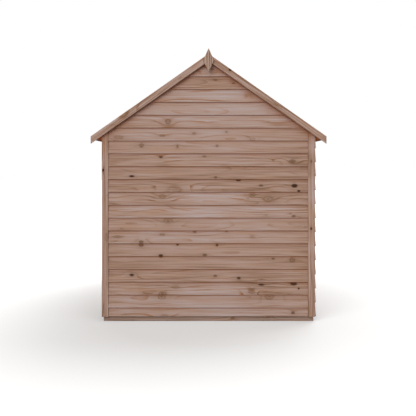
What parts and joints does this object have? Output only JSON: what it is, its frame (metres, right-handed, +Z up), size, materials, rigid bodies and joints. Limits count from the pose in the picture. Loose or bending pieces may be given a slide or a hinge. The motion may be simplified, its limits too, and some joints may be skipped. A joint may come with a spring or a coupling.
{
  "type": "wooden garden shed",
  "caption": "Apex garden shed of lapped horizontal boards on framed walls, with bargeboards, diamond finials, corner strips, a felted roof and a boarded door.",
  "frame": {"origin": "on the ground in the middle of the plan, under the ridge", "axes": "+Z up, +Y along the ridge from the plain gable to the door gable, +X to the right as the plain gable is faced"},
  "size_m": [2.012, 2.5118, 2.334],
  "materials": {
    "cladding_timber": "planed softwood, matte",
    "trim_timber": "planed softwood, matte",
    "frame_timber": "sawn softwood, matte",
    "roof_timber": "planed softwood, matte",
    "roof_felt": "mineral grit, matte",
    "ironwork": "satin black"
  },
  "bodies": {
    "root": {"floor_bearers": "frame_timber", "floor_deck": "frame_timber", "plain_cladding": "cladding_timber", "plain_bottom_rail": "frame_timber", "plain_studs": "frame_timber", "plain_top_rails": "frame_timber", "door_cladding_left": "cladding_timber", "door_cladding_right": "cladding_timber", "door_cladding_top": "cladding_timber", "door_bottom_rails": "frame_timber", "door_studs": "frame_timber", "door_header": "frame_timber", "door_top_rails": "frame_timber", "left_cladding": "cladding_timber", "left_rails": "frame_timber", "left_studs": "frame_timber", "right_cladding": "cladding_timber", "right_rails": "frame_timber", "right_studs": "frame_timber", "plain_strips": "trim_timber", "door_strips": "trim_timber", "left_wall_strips": "trim_timber", "roof_boards_left": "roof_timber", "roof_boards_right": "roof_timber", "ridge_beam": "frame_timber", "purlins": "frame_timber", "felt_left": "roof_felt", "felt_right": "roof_felt", "felt_ridge": "roof_felt", "plain_barge_left": "trim_timber", "plain_barge_right": "trim_timber", "door_barge_left": "trim_timber", "door_barge_right": "trim_timber", "plain_finial": "trim_timber", "door_finial": "trim_timber", "door_boards": "cladding_timber", "door_ledges": "frame_timber", "door_braces": "frame_timber", "door_hinges": "ironwork", "door_hasp": "ironwork", "door_staple": "ironwork", "door_casings": "trim_timber", "door_head_casing": "trim_timber", "door_threshold": "frame_timber"}
  },
  "joints": []
}
